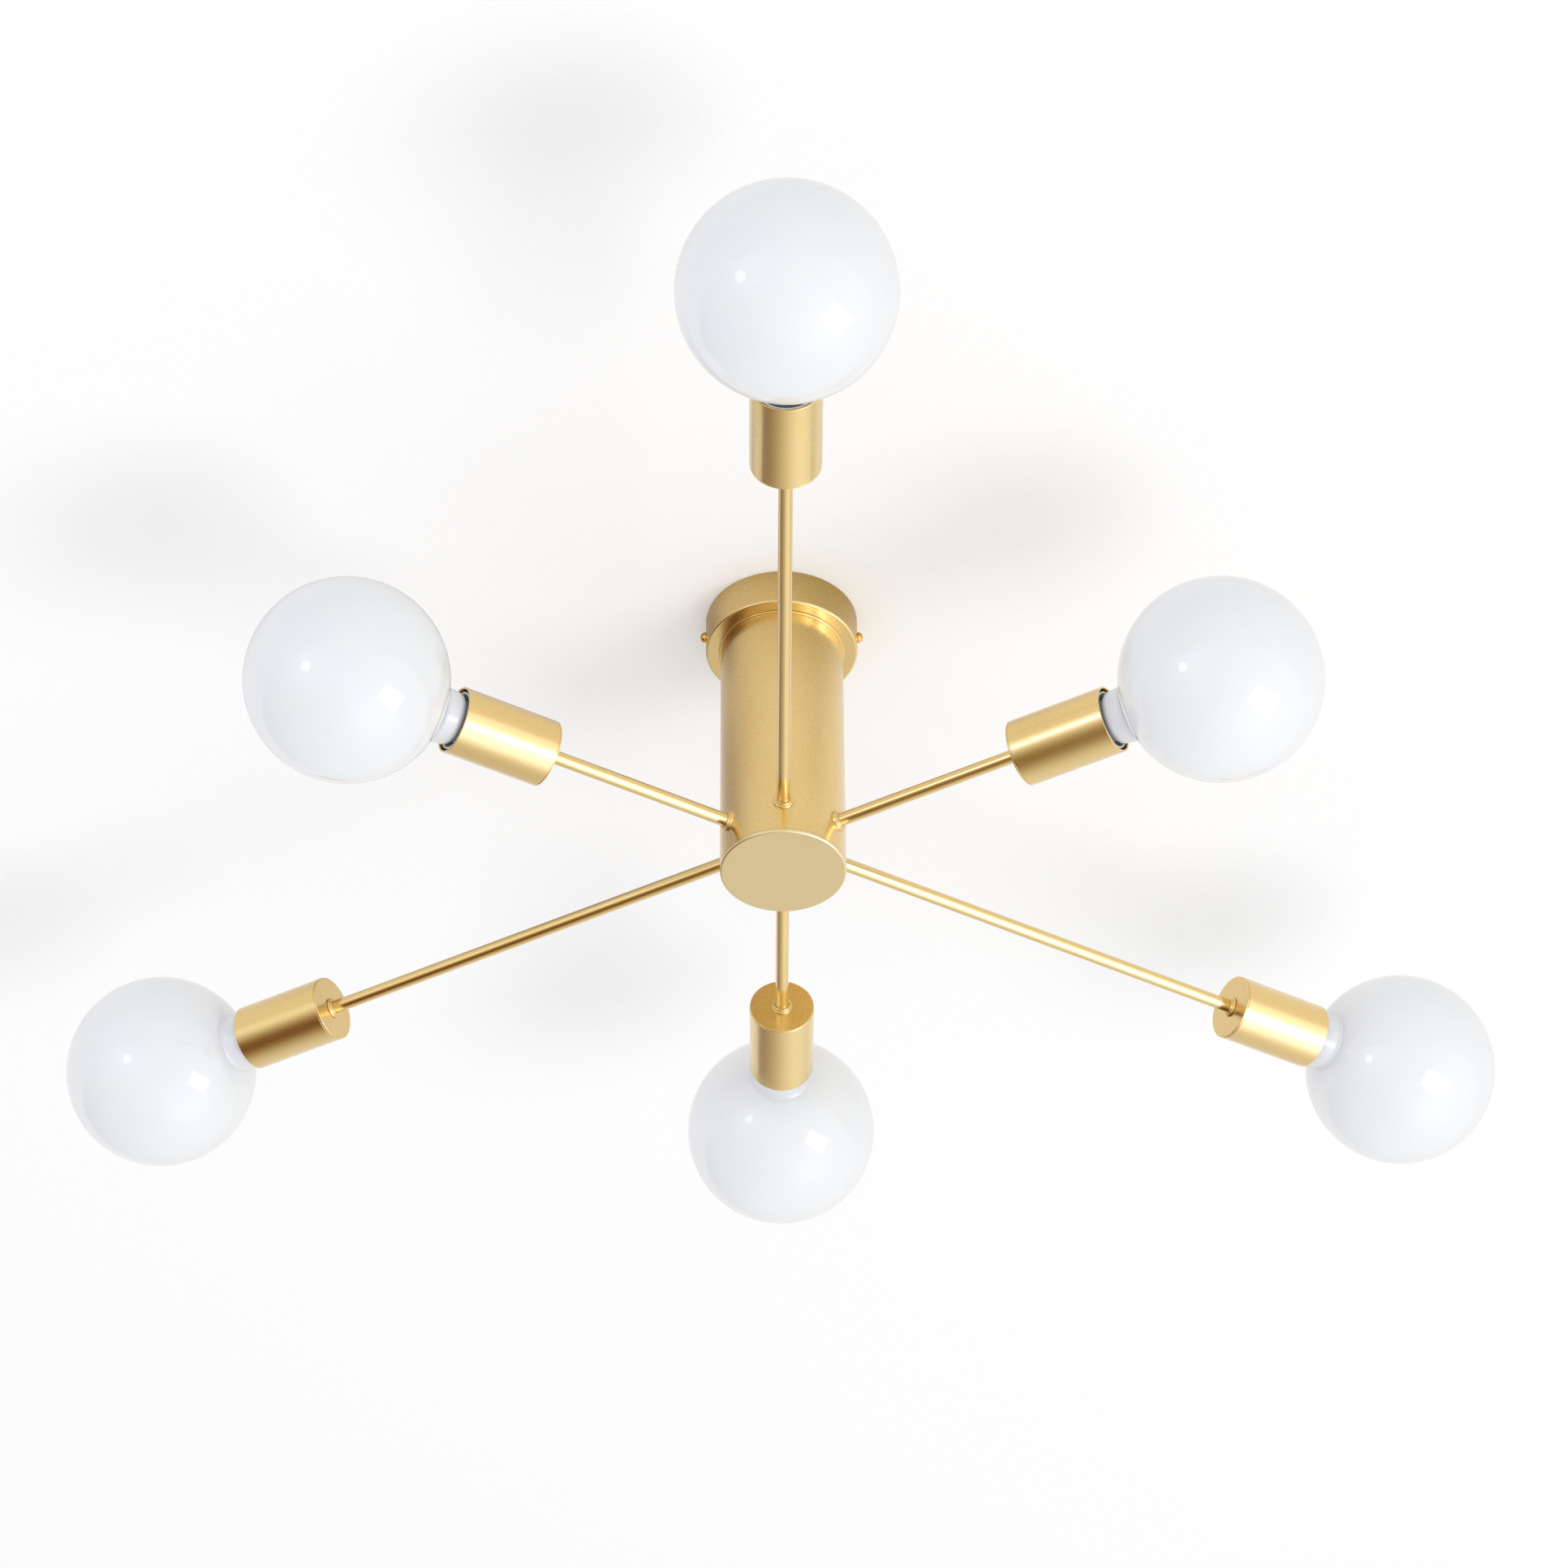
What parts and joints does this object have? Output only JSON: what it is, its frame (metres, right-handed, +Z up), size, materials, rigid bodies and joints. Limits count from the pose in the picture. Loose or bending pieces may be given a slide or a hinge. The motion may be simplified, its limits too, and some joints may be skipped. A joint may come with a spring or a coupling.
{
  "type": "ceiling light",
  "caption": "Semi-flush ceiling light: a wide gold column under a shallow round canopy, with long and short horizontal arms in turn, each ending in a cup lampholder with an opal globe bulb.",
  "frame": {"origin": "centre of the ceiling bracket's and canopy's ceiling face", "axes": "+Z up into the ceiling, -Y along arm 1 (long), +X to the right when arm 1 points at the viewer"},
  "size_m": [0.9456, 0.9026, 0.2475],
  "materials": {
    "gold": "satin gold plated",
    "zinc_steel": "zinc plated",
    "brass": "bright",
    "nickel": "nickel plated",
    "opal_glass": "glossy opal white",
    "neck_plastic": "semi-gloss white",
    "white_plastic": "moulded",
    "live_wire": "brown insulation",
    "neutral_wire": "blue insulation",
    "earth_wire": "green and yellow insulation"
  },
  "bodies": {
    "fixture": {"ceiling_bracket": "zinc_steel", "earth_screw": "brass", "earth_lead": "earth_wire", "canopy": "gold", "terminal_block": "white_plastic", "terminal_clamps": "brass", "threaded_tube": "zinc_steel", "threaded_tube_nuts": "zinc_steel", "column_top_cap": "gold", "column_tube": "gold", "column_end_cap": "gold", "column_collars": "gold", "column_lock_nuts": "zinc_steel", "wire_connector": "white_plastic", "live_wires": "live_wire", "neutral_wires": "neutral_wire", "cup_collars": "gold", "cup_lock_nuts": "zinc_steel", "lampholder_inserts": "white_plastic", "screw_shells": "nickel", "centre_contacts": "brass", "arm_1": "gold", "arm_2": "gold", "arm_3": "gold", "arm_4": "gold", "arm_5": "gold", "arm_6": "gold", "cup_1": "gold", "cup_2": "gold", "cup_3": "gold", "cup_4": "gold", "cup_5": "gold", "cup_6": "gold", "lampholder_1": "white_plastic", "lampholder_2": "white_plastic", "lampholder_3": "white_plastic", "lampholder_4": "white_plastic", "lampholder_5": "white_plastic", "lampholder_6": "white_plastic"},
    "bulb_1": {"bulb_globe_1": "opal_glass", "bulb_neck_1": "neck_plastic", "bulb_cap_1": "nickel"},
    "bulb_2": {"bulb_globe_2": "opal_glass", "bulb_neck_2": "neck_plastic", "bulb_cap_2": "nickel"},
    "bulb_3": {"bulb_globe_3": "opal_glass", "bulb_neck_3": "neck_plastic", "bulb_cap_3": "nickel"},
    "bulb_4": {"bulb_globe_4": "opal_glass", "bulb_neck_4": "neck_plastic", "bulb_cap_4": "nickel"},
    "bulb_5": {"bulb_globe_5": "opal_glass", "bulb_neck_5": "neck_plastic", "bulb_cap_5": "nickel"},
    "bulb_6": {"bulb_globe_6": "opal_glass", "bulb_neck_6": "neck_plastic", "bulb_cap_6": "nickel"},
    "left_side_screw": {"side_screw_left": "gold"},
    "right_side_screw": {"side_screw_right": "gold"}
  },
  "joints": [
    {"name": "bulb_1_unscrew", "type": "slide", "parent": "fixture", "child": "bulb_1", "axis": [0, -1, 0], "range_m": [0, 0.045]},
    {"name": "bulb_2_unscrew", "type": "slide", "parent": "fixture", "child": "bulb_2", "axis": [0.866, -0.5, 0], "range_m": [0, 0.045]},
    {"name": "bulb_3_unscrew", "type": "slide", "parent": "fixture", "child": "bulb_3", "axis": [0.866, 0.5, 0], "range_m": [0, 0.045]},
    {"name": "bulb_4_unscrew", "type": "slide", "parent": "fixture", "child": "bulb_4", "axis": [0, 1, 0], "range_m": [0, 0.045]},
    {"name": "bulb_5_unscrew", "type": "slide", "parent": "fixture", "child": "bulb_5", "axis": [-0.866, 0.5, 0], "range_m": [0, 0.045]},
    {"name": "bulb_6_unscrew", "type": "slide", "parent": "fixture", "child": "bulb_6", "axis": [-0.866, -0.5, 0], "range_m": [0, 0.045]},
    {"name": "left_screw_out", "type": "slide", "parent": "fixture", "child": "left_side_screw", "axis": [-1, 0, 0], "range_m": [0, 0.009]},
    {"name": "right_screw_out", "type": "slide", "parent": "fixture", "child": "right_side_screw", "axis": [1, 0, 0], "range_m": [0, 0.009]}
  ]
}
